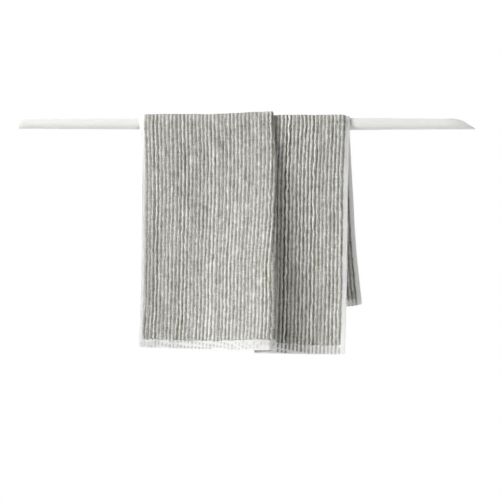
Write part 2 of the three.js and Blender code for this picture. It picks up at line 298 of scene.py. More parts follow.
def cloth_columns(across):
    """Points down the cloth at each distance across it, and how far along the cloth each of them lies."""
    sides = {"front": (FRONT_SECTIONS, FRONT_SWELLS), "back": (BACK_SECTIONS, BACK_SWELLS)}
    points = []
    for side, share, turn in cloth_rows():
        sections, swells = sides[side]
        drop = share * sections["drop"][-1]
        x, out = section_line(sections, swells, drop)
        steps = np.hypot(np.diff(x), np.diff(out))
        level = drop if side == "front" else 0
        taken = {layer: 1 + follow(GATHER, "drop", layer, level) for layer in ("outer", "hidden", "under")}
        steps[: RUN_POINTS["outer"]] *= taken["outer"]
        steps[RUN_POINTS["outer"] : -RUN_POINTS["under"]] *= taken["hidden"]
        steps[-RUN_POINTS["under"] :] *= taken["under"]
        lengths = np.concatenate(([0], np.cumsum(steps)))
        place = lengths * CLOTH_WIDTH / lengths[-1]
        x = np.interp(across, place, x)
        free = smoothstep(drop, 0, FREE_DROP)
        gap = (1 - free) * follow(ROD_CLEARANCE, "x", "gap", x) + free * FREE_GAP
        radius = follow(ROD_TAPER, "x", "radius", x)
        reach = radius + gap + PILE_THICKNESS / 2 + np.interp(across, place, out)
        hem = follow(HEM_LINE, "across", side, across)
        points.append(np.stack((x, -reach * math.cos(turn), reach * math.sin(turn) - share * hem), axis=1))
    points = np.array(points)
    steps = np.linalg.norm(np.diff(points, axis=0), axis=2)
    along = np.concatenate((np.zeros((1, len(across))), np.cumsum(steps, axis=0)))
    return points, along * CLOTH_LENGTH / along[-1]


def outward(points):
    """Direction away from the cloth at each point of a grid, towards its outer face."""
    normal = np.cross(np.gradient(points, axis=1), np.gradient(points, axis=0))
    return normal / np.linalg.norm(normal, axis=2, keepdims=True)


def pucker(across, along):
    """Small unevenness that terry has all over."""
    waves = [
        np.sin(2 * math.pi * (across / width + along / length) + phase)
        for width, length, phase in PUCKER_LENGTHS
    ]
    return PUCKER_HEIGHT * sum(waves) / len(waves)


def lay_cloth(across, along):
    """The middle of the cloth's thickness at places on the flat cloth, a grid in millimetres."""
    points, lengths = cloth_columns(across)
    laid = np.empty(along.shape + (3,))
    for column in range(len(across)):
        for axis in range(3):
            place = along[:, column]
            laid[:, column, axis] = np.interp(place, lengths[:, column], points[:, column, axis])
    spread = np.broadcast_to(across, along.shape)
    relief = hills(CREASES, "across", "along", spread, along) + pucker(spread, along)
    return laid + outward(laid) * relief[:, :, None]


def steps_between(*stops):
    """Places along a line. Each stop is a place and the step that leads on from it; the last has none."""
    places = []
    for (start, step), (end, _) in zip(stops, stops[1:]):
        count = max(1, round((end - start) / step))
        places += list(np.linspace(start, end, count, endpoint=False))
    return np.array(places + [stops[-1][0]])


def steps_finer(start, end, step, span, fine_step):
    """Places along a line at a step, and at a finer one over a span of it."""
    return steps_between((start, step), (span[0], fine_step), (span[1], step), (end, None))


def finish_mesh(name, mesh, material):
    """A smooth-shaded object at the origin from a mesh in metres."""
    mesh.name = name
    mesh.materials.clear()
    mesh.materials.append(material)
    mesh.polygons.foreach_set("use_smooth", np.ones(len(mesh.polygons), bool))
    mesh.update()
    piece = bpy.data.objects.new(name, mesh)
    bpy.context.scene.collection.objects.link(piece)
    return piece


def build_mesh(points, faces, uv_maps):
    """A mesh from points in millimetres, faces and one value per face corner for each UV map."""
    mesh = bpy.data.meshes.new("piece")
    mesh.from_pydata((np.asarray(points) * MM).tolist(), [], [tuple(face) for face in faces])
    for name, values in uv_maps.items():
        layer = mesh.uv_layers.new(name=name)
        layer.data.foreach_set("uv", np.asarray(values, np.float32).ravel())
    mesh.update()
    return mesh


def grid_faces(rows, columns):
    """Corner numbers of a grid's quads, facing outward where rows run up and columns run right."""
    first = np.arange(rows - 1)[:, None] * columns + np.arange(columns - 1)
    return np.stack((first, first + 1, first + columns + 1, first + columns), axis=2).reshape(-1, 4)


# Wiring of node trees, for the Geometry Nodes and the shaders alike


class Wire:
    """An output of a node. Plus, minus, times and over add the matching Math node to its tree."""

    def __init__(self, tree, socket):
        self.tree = tree
        self.socket = socket

    def __add__(self, other):
        return calculate(self.tree, "ADD", self, other)

    def __sub__(self, other):
        return calculate(self.tree, "SUBTRACT", self, other)

    def __rsub__(self, other):
        return calculate(self.tree, "SUBTRACT", other, self)

    def __mul__(self, other):
        return calculate(self.tree, "MULTIPLY", self, other)

    def __truediv__(self, other):
        return calculate(self.tree, "DIVIDE", self, other)

    def __rtruediv__(self, other):
        return calculate(self.tree, "DIVIDE", other, self)

    __radd__ = __add__


def plug(value, socket):
    """Links a wire to a socket, or sets the socket to a plain value."""
    if isinstance(value, Wire):
        value.tree.links.new(value.socket, socket)
    else:
        socket.default_value = value


def add_node(tree, kind, settings=None, **inputs):
    """A node with its settings and its inputs. An input's name is written with _ for a space."""
    node = tree.nodes.new(kind)
    for name, value in (settings or {}).items():
        setattr(node, name, value)
    for name, value in inputs.items():
        label = name.replace("_", " ")
        plug(value, next(s for s in node.inputs if s.name == label and s.enabled))
    return node


def output(node, name):
    """The output of a node that has this name and is in use."""
    return Wire(node.id_data, next(s for s in node.outputs if s.name == name and s.enabled))


def read(tree, kind, name, settings=None, **inputs):
    """The named output of a new node."""
    return output(add_node(tree, kind, settings, **inputs), name)


def calculate(tree, operation, *values):
    node = tree.nodes.new("ShaderNodeMath")
    node.operation = operation
    for value, socket in zip(values, node.inputs):
        plug(value, socket)
    return Wire(tree, node.outputs[0])


def floor(value):
    return calculate(value.tree, "FLOOR", value)


def larger(first, second):
    return calculate(first.tree, "MAXIMUM", first, second)


def smaller(first, second):
    return calculate(first.tree, "MINIMUM", first, second)


def below(first, second):
    """One where the first value is below the second, and nought elsewhere."""
    return calculate(first.tree, "LESS_THAN", first, second)


def vector(tree, x, y, z=0.0):
    node = tree.nodes.new("ShaderNodeCombineXYZ")
    for value, socket in zip((x, y, z), node.inputs):
        plug(value, socket)
    return Wire(tree, node.outputs[0])


def vector_step(operation, first, second=None, scale=None):
    """A Vector Math node: an operation on one or two vectors, or a vector times a number."""
    node = first.tree.nodes.new("ShaderNodeVectorMath")
    node.operation = operation
    for value, socket in ((first, 0), (second, 1), (scale, "Scale")):
        if value is not None:
            plug(value, node.inputs[socket])
    return Wire(first.tree, node.outputs[0])


def noise(place, scale=1.0, detail=2.0):
    """Smooth noise around nought, about -0.5 to 0.5."""
    node = add_node(place.tree, "ShaderNodeTexNoise", Vector=place, Scale=scale, Detail=detail)
    return Wire(place.tree, node.outputs[0]) - 0.5


def chance(number, seed):
    """An even random value around nought, -0.5 to 0.5, for each whole number."""
    place = vector(number.tree, number, seed)
    settings = {"noise_dimensions": "2D"}
    return read(number.tree, "ShaderNodeTexWhiteNoise", "Value", settings, Vector=place) - 0.5


SOCKET_KINDS = {
    "geometry": "NodeSocketGeometry",
    "number": "NodeSocketFloat",
    "count": "NodeSocketInt",
    "material": "NodeSocketMaterial",
    "vector": "NodeSocketVector",
}


def sockets(**kinds):
    """The kind of each socket by its name, from one text of names for each kind."""
    return {name: SOCKET_KINDS[kind] for kind, names in kinds.items() for name in names.split()}


def new_tree(name, kind, inputs, outputs):
    """A node tree with named sockets, its inputs as wires by name, and its output node."""
    tree = bpy.data.node_groups.new(name, kind)
    for direction, kinds in (("INPUT", inputs), ("OUTPUT", outputs)):
        for label, socket_kind in kinds.items():
            tree.interface.new_socket(label, in_out=direction, socket_type=socket_kind)
    source = tree.nodes.new("NodeGroupInput")
    wires = {label: Wire(tree, source.outputs[label]) for label in inputs}
    return tree, wires, tree.nodes.new("NodeGroupOutput")


def named_value(tree, name, kind="FLOAT"):
    """A value kept on the mesh under a name."""
    return read(tree, "GeometryNodeInputNamedAttribute", "Attribute", {"data_type": kind}, Name=name)


def flat_place(tree, across, along):
    """A distance across and along the cloth in metres as a place on its UV map."""
    return vector(tree, across / (CLOTH_WIDTH * MM), along / (CLOTH_LENGTH * MM))


def sample_cloth(cloth, across, along, name):
    """What the laid cloth has at a distance across and along it: its place, or a named value."""
    kind = "FLOAT_VECTOR" if name in ("place", "outward") else "FLOAT"
    if name == "place":
        value = read(cloth.tree, "GeometryNodeInputPosition", "Position")
    else:
        value = named_value(cloth.tree, name, kind)
    return read(
        cloth.tree,
        "GeometryNodeSampleUVSurface",
        "Value",
        {"data_type": kind},
        Mesh=cloth,
        Value=value,
        UV_Map=named_value(cloth.tree, "cloth", "FLOAT_VECTOR"),
        Sample_UV=flat_place(cloth.tree, across, along),
    )


def over_cloth(cloth, across, along, lift):
    """The place at a height over the middle of the laid cloth, towards its outer face."""
    place = sample_cloth(cloth, across, along, "place")
    away = vector_step("NORMALIZE", sample_cloth(cloth, across, along, "outward"))
    return vector_step("ADD", place, vector_step("SCALE", away, scale=lift))


def geometry_step(kind, geometry, settings=None, **inputs):
    """A node that takes a geometry and gives it on changed."""
    return read(geometry.tree, "GeometryNode" + kind, "Geometry", settings, Geometry=geometry, **inputs)


def store(mesh, name, value, kind="FLOAT", domain="POINT"):
    """Keeps a value on the mesh."""
    settings = {"data_type": kind, "domain": domain}
    return geometry_step("StoreNamedAttribute", mesh, settings, Name=name, Value=value)


def store_uv(mesh, name, place):
    """Keeps a UV map, worked out on the mesh's points though its corners hold it."""
    settings = {"data_type": "FLOAT_VECTOR", "domain": "POINT"}
    place = read(mesh.tree, "GeometryNodeFieldOnDomain", "Value", settings, Value=place)
    return store(mesh, name, place, "FLOAT2", "CORNER")


def close_tree(mesh, material, end):
    """The end of a piece's tree: real geometry in the piece's material."""
    coated = geometry_step("SetMaterial", geometry_step("RealizeInstances", mesh), Material=material)
    plug(coated, end.inputs["Mesh"])


# Each rib is a closed tube: five places over its crown, and a sixth that meets the first
RIB_CORNERS = 6
RIB_ARC = RIB_CORNERS - 2
# How much shorter a strand's first and last steps are, so that it ends bluntly
BLUNT = 0.75
# The stretch at its front end over which a rib may bend aside
HOOK_REACH = 7 * MM
# Marks for the ribs' ends are the same all along the cloth, so they are read at one place along it
MARK_PLACE = 20 * MM
# Ribs wander with their neighbours, at these rates for each metre across and along the cloth
WANDER_RATES = (60.0, 40.0)
WANDER_SEED = 0.37
# What each rib has of its own: its step from rib to rib, its rate for each metre along, seed and detail
RIB_CHANGES = {
    "drift": (2.3, 16.0, 4.0, 2.0),
    "jitter": (1.7, 130.0, 0.0, 2.0),
    "fatness": (3.1, 75.0, 7.0, 3.0),
    "roughness": (4.3, 330.0, 2.0, 2.0),
}
CORNER_STEP = 1.9
CHANCE_SEEDS = {"start": 3.0, "stop": 5.0, "fatness": 9.0, "hook": 13.0}
# How far the fatness of an uneven rib changes, and how rough its sides and its crown are
FATNESS_ALONG = 2.2
FATNESS_EACH = 0.7
ROUGH_SIDES = 1.4
ROUGH_CROWN = 1.1
# Free borders of a rib's strip in the bake, as shares of its width and its length
BAKE_SIDE = 0.04
BAKE_END = 0.002
# Dashes that come out shorter than this are left out
SHORTEST_DASH = 1.2 * MM
WELD_DISTANCE = 0.004 * MM


def strand_numbers(get):
    """For each point of the ribs' grid, its strand, its rib, its corner of the rib's tube and its row."""
    index = read(get["Rows"].tree, "GeometryNodeInputIndex", "Index")
    strand = floor((index + 0.5) / get["Rows"])
    rib = floor((strand + 0.5) / RIB_CORNERS)
    return strand, rib, strand - rib * RIB_CORNERS, index - strand * get["Rows"]


def strand_ends(get, rib, line):
    """Where a rib starts and stops along the cloth, by the cloth's marks and a little ragged."""
    ends = []
    for mark in ("start", "stop"):
        at = sample_cloth(get["Cloth"], line, MARK_PLACE, mark)
        at = at + rib_chance(get, rib, mark) * 2.0 * get["Ragged"]
        ends.append(smaller(larger(at, get["Lowest"]), get["Highest"]))
    return ends


def rib_noise(get, rib, along, name, shift=0.0):
    """Noise along each rib that no other rib shares."""
    step, rate, seed, detail = RIB_CHANGES[name]
    return noise(vector(rib.tree, rib * step + shift, along * rate, get["Seed"] + seed), detail=detail)


def rib_chance(get, rib, name):
    """One random value around nought for each rib."""
    return chance(rib, get["Seed"] + CHANCE_SEEDS[name])


def rib_middle(get, rib, line, along, reach, bold):
    """Where a rib runs: off its line with its neighbours and by itself, and hooked at its front end."""
    wander = noise(vector(rib.tree, line * WANDER_RATES[0], along * WANDER_RATES[1], WANDER_SEED))
    wander = wander * 2.0 * get["Wander"] * bold
    drift = rib_noise(get, rib, along, "drift") * 2.0 * get["Drift"]
    jitter = rib_noise(get, rib, along, "jitter") * 2.0 * get["Jitter"]
    near_end = larger(1.0 - reach / HOOK_REACH, 0.0)
    hook = rib_chance(get, rib, "hook") * 2.0 * get["Hook"] * near_end * near_end
    return line + wander + drift + jitter + hook


def rib_bake(get, rib, corner, share):
    """Each rib's own strip of the bake."""
    step = (1 - 2 * BAKE_SIDE) / (RIB_CORNERS - 1)
    return vector(
        rib.tree,
        (rib + BAKE_SIDE + corner * step) / get["Ribs"],
        (get["Slot"] + BAKE_END + share * (1 - 2 * BAKE_END)) / get["Slots"],
    )


def close_ribs(get, mesh, end):
    """Leaves out what isn't rib, welds the tubes and turns their faces outward."""
    # a face's strand lies half way between its corners' strands, so step is nought from rib to rib
    step = calculate(mesh.tree, "MODULO", named_value(mesh.tree, "strand") + 0.5, float(RIB_CORNERS))
    short = below(named_value(mesh.tree, "length"), SHORTEST_DASH)
    unused = larger(below(step, 0.5), short)
    kept = geometry_step("DeleteGeometry", mesh, {"domain": "FACE"}, Selection=unused)
    welded = geometry_step("MergeByDistance", kept, Distance=WELD_DISTANCE)
    inward = below(get["Face"] * get["Way"], 0.0)
    turned = read(mesh.tree, "GeometryNodeFlipFaces", "Mesh", Mesh=welded, Selection=inward)
    close_tree(turned, get["Material"], end)


def make_rib_tree():
    """Terry ribs that run along the laid cloth, or short dashes of yarn in its hems."""
    inputs = sockets(
        geometry="Cloth",
        count="Ribs Rows",
        number="Pitch First Width Height Base Edge Way Lowest Highest Ragged Wander Drift Jitter Hook"
        " Swell Uneven Face Slot Slots Seed",
        material="Material",
    )
    tree, get, end = new_tree("terry ribs", "GeometryNodeTree", inputs, sockets(geometry="Mesh"))
    strand, rib, corner, row = strand_numbers(get)
    loop = calculate(tree, "MODULO", corner, RIB_CORNERS - 1.0)
    turn = loop * (math.pi / RIB_ARC)
    side = calculate(tree, "COSINE", turn) * -1.0
    crown = calculate(tree, "SINE", turn)
    last = get["Rows"] - 1.0
    cut = smaller(row, 1.0) + larger(row - last + 1.0, 0.0)
    share = (row - cut * BLUNT) / (last - 2.0 * BLUNT)
    taper = smaller(smaller(row, last - row) * BLUNT, 1.0)

    line = get["First"] + rib * get["Pitch"]
    start, stop = strand_ends(get, rib, line)
    reach = (stop - start) * share
    along = get["Edge"] + get["Way"] * (start + reach)
    bold = sample_cloth(get["Cloth"], line, along, "bold")

    fatness = rib_noise(get, rib, along, "fatness") * FATNESS_ALONG
    size = 1.0 + get["Uneven"] * (fatness + rib_chance(get, rib, "fatness") * FATNESS_EACH)
    rough = get["Uneven"] * rib_noise(get, rib, along, "roughness", loop * CORNER_STEP)
    half = get["Width"] / 2.0 * size * taper
    middle = rib_middle(get, rib, line, along, reach, bold)
    across = middle + side * half * (1.0 + rough * ROUGH_SIDES)
    height = get["Height"] * taper * (size * 0.5 + 0.5) * (1.0 + get["Swell"] * (bold - 1.0))
    lift = get["Base"] + crown * height * (1.0 + rough * ROUGH_CROWN)

    size_of_grid = {"Vertices_X": get["Ribs"] * RIB_CORNERS, "Vertices_Y": get["Rows"]}
    mesh = read(tree, "GeometryNodeMeshGrid", "Mesh", **size_of_grid)
    mesh = store_uv(mesh, "cloth", flat_place(tree, across, along))
    mesh = store_uv(mesh, "OFBake", rib_bake(get, rib, corner, share))
    for name, value in (("bold", bold), ("crown", crown), ("strand", strand), ("length", stop - start)):
        mesh = store(mesh, name, value)
    place = over_cloth(get["Cloth"], across, along, lift * get["Face"])
    close_ribs(get, geometry_step("SetPosition", mesh, Position=place), end)
    return tree


def grow(name, tree, cloth, material, sizes):
    """A plain mesh piece from a node tree on the laid cloth, with the tree's inputs set by name."""
    maker = cloth.piece.copy()
    bpy.context.scene.collection.objects.link(maker)
    modifier = maker.modifiers.new(name, "NODES")
    modifier.node_group = tree
    inputs = [item for item in tree.interface.items_tree if item.in_out == "INPUT"]
    identifiers = {item.name: item.identifier for item in inputs}
    for label, value in dict(sizes, Material=material).items():
        modifier[identifiers[label]] = value
    graph = bpy.context.evaluated_depsgraph_get()
    mesh = bpy.data.meshes.new_from_object(
        maker.evaluated_get(graph), preserve_all_data_layers=True, depsgraph=graph
    )
    bpy.data.objects.remove(maker)
    for spare in ("strand", "length"):
        if spare in mesh.attributes:
            mesh.attributes.remove(mesh.attributes[spare])
    return finish_mesh(name, mesh, material)


# The laid cloth's middle surface, which the ribs and the stitches follow. It is finer at the pleat's fold
# and over the rod.
FOLD_SPAN = (248, 336)
GUIDE_STEP = 2.4
GUIDE_FOLD_STEP = 0.8
GUIDE_WRAP = (435, 530)
GUIDE_ROW_STEP = 4
GUIDE_WRAP_STEP = 1.6


class LaidCloth:
    """The middle surface of the laid cloth, with values marked on it that change across the cloth."""

    def __init__(self):
        self.across = steps_finer(0, CLOTH_WIDTH, GUIDE_STEP, FOLD_SPAN, GUIDE_FOLD_STEP)
        along = steps_finer(0, CLOTH_LENGTH, GUIDE_ROW_STEP, GUIDE_WRAP, GUIDE_WRAP_STEP)
        self.rows = len(along)
        spread = np.repeat(along[:, None], len(self.across), axis=1)
        points = lay_cloth(self.across, spread)
        faces = grid_faces(*spread.shape)
        share = np.broadcast_to(self.across / CLOTH_WIDTH, spread.shape)
        flat = np.stack((share, spread / CLOTH_LENGTH), axis=2).reshape(-1, 2)
        mesh = build_mesh(points.reshape(-1, 3), faces, {"cloth": flat[faces]})
        away = mesh.attributes.new("outward", "FLOAT_VECTOR", "POINT")
        away.data.foreach_set("vector", outward(points).ravel())
        self.piece = bpy.data.objects.new("laid cloth", mesh)

    def mark(self, name, values):
        """Keeps one value for each place across the cloth, for the strands that grow on it next."""
        marks = self.piece.data.attributes
        attribute = marks.get(name) or marks.new(name, "FLOAT", "POINT")
        attribute.data.foreach_set("value", np.tile(values, self.rows).astype(np.float32))
        self.piece.data.update_tag()


# Ground weave: thin under the loops, thicker in the turned hems and the selvedges
GROUND_THICKNESS = 1.2
HEM_THICKNESS = 2.2
SELVEDGE_THICKNESS = 2.8
EDGE_ROUND = 1.1
EDGE_SHARE = 0.25
CORNER_RADIUS = 4.5
SCALLOP = 0.35
# A thicker edge goes over into the ground from this far inside its width to this far beyond it
EDGE_BLEND = (0.5, 1)
# Places that the mesh has from an edge inward, each with the step that leads on from it
SIDE_PLACES = ((0, 0.4), (1.2, 2), (SELVEDGE_WIDTH - 1, 1), (SELVEDGE_WIDTH + 1, None))
HEM_PLACES = ((0, 0.4), (1.2, 3), (HEM_DEPTH - 1, 1), (HEM_DEPTH + 2, None))
# Rows between the hems: their step, and where over the rod they are closer
ROW_STEP = 10
WRAP_ROW_STEP = 2.6
WRAP_SPAN = (440, 525)
# The bake holds the outer face beside the inner one
BAKE_SIZE = (0.46, 0.97)
BAKE_CORNERS = ((0.02, 0.015), (0.52, 0.015))


def edge_round(distance):
    """How much of the thickness is left near a rounded edge."""
    inside = np.clip(distance / EDGE_ROUND, 0, 1)
    return EDGE_SHARE + (1 - EDGE_SHARE) * np.sqrt(1 - (1 - inside) ** 2)


def hem_places(across, rows):
    """Distances along the cloth at a grid, with rounded corners and the hems' slight scallops."""
    from_side = np.minimum(across, CLOTH_WIDTH - across)
    inside = np.clip(CORNER_RADIUS - from_side, 0, CORNER_RADIUS)
    edge = CORNER_RADIUS - np.sqrt(CORNER_RADIUS**2 - inside**2)
    edge = edge + SCALLOP * (0.5 - 0.5 * np.cos(2 * math.pi * (across - FIRST_DARK_RIB) / RIB_PITCH))
    front = rows[:, None]
    back = CLOTH_LENGTH - front
    pull = edge * (np.clip(1 - front / HEM_DEPTH, 0, 1) - np.clip(1 - back / HEM_DEPTH, 0, 1))
    return front + pull


def both_edges(edge, between, size):
    """Places from one edge of the cloth to the other: an edge's, those between, and the edge's mirrored."""
    return np.concatenate((edge[:-1], between, size - edge[-2::-1]))


def ground_grid():
    """How the sheet's mesh is spaced: distances across the flat cloth, and along it."""
    side = steps_between(*SIDE_PLACES)
    hem = steps_between(*HEM_PLACES)
    step = RIB_PITCH / 4
    across = steps_finer(side[-1], CLOTH_WIDTH - side[-1], step, FOLD_SPAN, step / 2)
    rows = steps_finer(hem[-1], CLOTH_LENGTH - hem[-1], ROW_STEP, WRAP_SPAN, WRAP_ROW_STEP)
    return both_edges(side, across, CLOTH_WIDTH), both_edges(hem, rows, CLOTH_LENGTH)


def ground_thickness(across, rows):
    """The sheet's thickness over its grid."""
    from_side = np.minimum(across, CLOTH_WIDTH - across)[None, :]
    from_hem = np.minimum(rows, CLOTH_LENGTH - rows)[:, None]
    before, beyond = EDGE_BLEND
    selvedge = 1 - smoothstep(from_side, SELVEDGE_WIDTH - before, SELVEDGE_WIDTH + beyond)
    turned = 1 - smoothstep(from_hem, HEM_DEPTH - before, HEM_DEPTH + beyond)
    thickness = GROUND_THICKNESS + np.maximum(
        selvedge * (SELVEDGE_THICKNESS - GROUND_THICKNESS),
        turned * (HEM_THICKNESS - GROUND_THICKNESS),
    )
    return thickness * edge_round(from_side) * edge_round(from_hem)


def closed_faces(shape):
    """Faces of a thin closed sheet: its outer grid, its inner grid and the rim between them."""
    count = shape[0] * shape[1]
    numbers = np.arange(count).reshape(shape)
    border = np.concatenate((numbers[0, :-1], numbers[:-1, -1], numbers[-1, :0:-1], numbers[:0:-1, 0]))
    ahead = np.roll(border, -1)
    outer = grid_faces(*shape)
    rim = np.stack((border + count, ahead + count, ahead, border), axis=1)
    return np.concatenate((outer, outer[:, ::-1] + count, rim))


def make_ground(material):
    """The woven sheet itself as a closed thin mesh, with hems and selvedges."""
    across, rows = ground_grid()
    along = hem_places(across, rows)
    middle = lay_cloth(across, along)
    half = outward(middle) * ground_thickness(across, rows)[:, :, None] / 2
    points = np.concatenate(((middle + half).reshape(-1, 3), (middle - half).reshape(-1, 3)))
    faces = closed_faces(along.shape)
    share = across / CLOTH_WIDTH
    flat = np.stack(np.broadcast_arrays(share, along / CLOTH_LENGTH), axis=2).reshape(-1, 2)
    even = np.stack(np.broadcast_arrays(share, (rows / CLOTH_LENGTH)[:, None]), axis=2).reshape(-1, 2)
    bake = np.concatenate([even * BAKE_SIZE + corner for corner in BAKE_CORNERS])
    uv_maps = {"cloth": np.concatenate((flat, flat))[faces], "OFBake": bake[faces]}
    return finish_mesh("ground_weave", build_mesh(points, faces, uv_maps), material)


def srgb(red, green, blue):
    """A colour given as 0 to 255 on a screen, as the light that a shader wants."""
    channels = [value / 255 for value in (red, green, blue)]
    linear = [c / 12.92 if c <= 0.04045 else ((c + 0.055) / 1.055) ** 2.4 for c in channels]
    return (*linear, 1.0)


def mix(factor, first, second):
    """A colour between two, by a factor that is held within 0 to 1."""
    node = factor.tree.nodes.new("ShaderNodeMix")
    node.data_type = "RGBA"
    plug(factor, node.inputs["Factor"])
    colours = [s for s in node.inputs if s.type == "RGBA"]
    plug(first, colours[0])
    plug(second, colours[1])
    return Wire(factor.tree, next(s for s in node.outputs if s.type == "RGBA"))


def stretched(place, across, along, detail=2.0):
    """Noise with its own size in millimetres across and along the cloth."""
    return noise(vector_step("MULTIPLY", place, (1 / across, 1 / along, 1.0)), detail=detail)


# Terry loops: how wide one is, the middle of their tone between dark and light yarn, and a factor on their
# colour. Streaks and flecks change the tone. The hollows between loops darken the colour as painted shade,
# and patches change it at random. Each has its size in millimetres across and along the cloth, its detail,
# and its depth.
LOOP_WIDTH = 1.7
LOOP_TONE = 0.47
STREAKS = ((6.0, 60.0, 4.0), (5.0, 15.0, 2.0))
STREAK_DEPTH = 0.44
FLECKS = (2.4, 3.6, 2.0)
FLECK_DEPTH = 0.36
FLECK_RELIEF = 0.5
# The colour factor starts a little over one, so that it is about one on average once the painted shade of
# the hollows is taken off.
LOOP_NAP = 1.12
HOLLOW_PAINTED_SHADE = 0.28
NAP_PATCHES = ((42.0, 52.0, 2.0, 0.25), (17.0, 15.0, 3.0, 0.52), (12.0, 3.6, 3.0, 0.7))


def make_pile_group():
    """Terry loops in cloth millimetres: their tone, a colour factor with painted shade between loops, and
    their height.
    """
    inputs = sockets(vector="Place", number="Crown Bold Edge Top Power")
    outputs = sockets(number="Tone Nap Height")
    tree, get, end = new_tree("terry loops", "ShaderNodeTree", inputs, outputs)
    place = get["Place"]
    streak = stretched(place, *STREAKS[0]) + stretched(place, *STREAKS[1])
    fleck = stretched(place, *FLECKS)
    hollow = read(tree, "ShaderNodeTexVoronoi", "Distance", Vector=place, Scale=1 / LOOP_WIDTH)
    crown = calculate(tree, "POWER", get["Crown"], get["Power"])
    reach = get["Edge"] + (get["Top"] - get["Edge"]) * crown
    tone = LOOP_TONE + reach * get["Bold"] + streak * STREAK_DEPTH + fleck * FLECK_DEPTH
    # Painted shade: the colour darkens towards the edge of each loop's cell, in the hollows between loops.
    nap_and_hollow_shade = LOOP_NAP - hollow * HOLLOW_PAINTED_SHADE
    for across, along, detail, depth in NAP_PATCHES:
        nap_and_hollow_shade = nap_and_hollow_shade + stretched(place, across, along, detail) * depth
    height = 1.0 - hollow + fleck * FLECK_RELIEF
    for name, value in (("Tone", tone), ("Nap", nap_and_hollow_shade), ("Height", height)):
        plug(value, end.inputs[name])
    return tree


# Flat weave: how far apart its threads are, how deep its relief is, and the lumps in its threads, as their
# size across and along the cloth and their share of the relief
THREAD_PITCH = 0.55
THREAD_RELIEF = 0.22
SLUB_SIZE = (0.8, 4.0)
SLUB_SHARE = 0.8
# Slow changes of the cotton's tone: how long each is in millimetres, and its depth
MOTTLES = ((38, 0.9), (6, 1.1))


def make_weave_group():
    """Plain weave in cloth millimetres: threads that pass over and under each other, a little slubbed."""
    inputs = sockets(vector="Place", number="Pitch")
    tree, get, end = new_tree("plain weave", "ShaderNodeTree", inputs, sockets(number="Height"))
    parts = add_node(tree, "ShaderNodeSeparateXYZ", Vector=get["Place"])
    waves = [calculate(tree, "SINE", output(parts, axis) * (math.pi / get["Pitch"])) for axis in "XY"]
    slub = stretched(get["Place"], *SLUB_SIZE) * SLUB_SHARE
    plug(waves[0] * waves[1] * 0.5 + 0.5 + slub, end.inputs["Height"])
    return tree


def make_mottle_group():
    """Slow tone changes over the cloth, as dyed and washed cotton has."""
    inputs = sockets(vector="Place", number="Seed")
    tree, get, end = new_tree("cotton mottle", "ShaderNodeTree", inputs, sockets(number="Tone"))
    moved = vector_step("ADD", get["Place"], vector(tree, get["Seed"], get["Seed"]))
    tone = 0.5
    for length, depth in MOTTLES:
        tone = tone + noise(moved, 1 / length) * depth
    plug(tone, end.inputs["Tone"])
    return tree


def new_material(name, **finish):
    """A material, its tree and its Principled shader with plain values set by name, _ for a space."""
    material = bpy.data.materials.new(name)
    material.use_nodes = True
    tree = material.node_tree
    shader = tree.nodes["Principled BSDF"]
    for label, value in finish.items():
        shader.inputs[label.replace("_", " ")].default_value = value
    return material, tree, shader


def cloth_place(tree):
    """Places on the flat cloth in millimetres, from the cloth's own UV map."""
    uv = read(tree, "ShaderNodeUVMap", "UV", {"uv_map": "cloth"})
    return vector_step("MULTIPLY", uv, (CLOTH_WIDTH, CLOTH_LENGTH, 1.0))


def object_place(tree):
    """Places on a piece in millimetres."""
    return vector_step("SCALE", read(tree, "ShaderNodeTexCoord", "Object"), scale=1 / MM)


def use_group(tree, group, **inputs):
    return add_node(tree, "ShaderNodeGroup", {"node_tree": group}, **inputs)


def add_bump(shader, height, distance, strength=1.0):
    """Relief of a height map, with its full depth in millimetres."""
    bump = {"Strength": strength, "Distance": distance * MM, "Height": height}
    plug(read(height.tree, "ShaderNodeBump", "Normal", **bump), shader.inputs["Normal"])


def mesh_value(tree, name):
    """A number kept on the piece's mesh, for its material."""
    return read(tree, "ShaderNodeAttribute", "Fac", {"attribute_name": name})


# Colours of the yarns, and the two that each other finish goes between
# The darkest end of the loops' tone is darker than the dark yarn. The boldest dark ribs reach it, as
# painted shade of the deep gaps beside the boldest light ribs.
DEEP_YARN_AND_GAP_SHADE = srgb(71, 71, 8)
DARK_YARN = srgb(106, 106, 81)
WHITE_YARN = srgb(236, 235, 235)
# The white cotton goes between these two colours by its mottle, and by painted shade where its threads lie
# low.
WOVEN_COTTON_AND_THREAD_SHADE = (srgb(215, 214, 212), srgb(233, 233, 233))
SEWING_THREAD = (srgb(122, 118, 110), srgb(160, 156, 149))
ROD_PAINT = (srgb(228, 227, 223), srgb(236, 236, 233))
PALE_FLOOR = srgb(245, 245, 244)
# Tone of a rib's loops at its edges and at its crown, from their middle tone, and how narrow the crown is
LIGHT_LOOPS = {"Edge": -0.05, "Top": 0.265, "Power": 1.6}
DARK_LOOPS = {"Edge": 0.04, "Top": -0.26, "Power": 4.0}
LOOP_RELIEF = 0.8
# Flat woven finishes: where each has its mottle, how much of the white one's tone is mottle and the rest
# painted shade where its threads lie low, the light that goes through it, and the least ink of the dark
# yarn and what its mottle adds
MOTTLE_SEEDS = {"white": 31.0, "dark": 12.0}
MOTTLE_SHARE = 0.6
COTTON_GLOW = {"Subsurface_Weight": 0.85, "Subsurface_Radius": (1.0, 1.0, 1.0), "Subsurface_Scale": 8 * MM}
YARN_INK = 0.65
YARN_INK_CHANGE = 0.7
# Twist of the sewing thread: how quickly it changes for each millimetre, and how deep its relief is
TWIST_RATE = 1.4
TWIST_RELIEF = 0.2
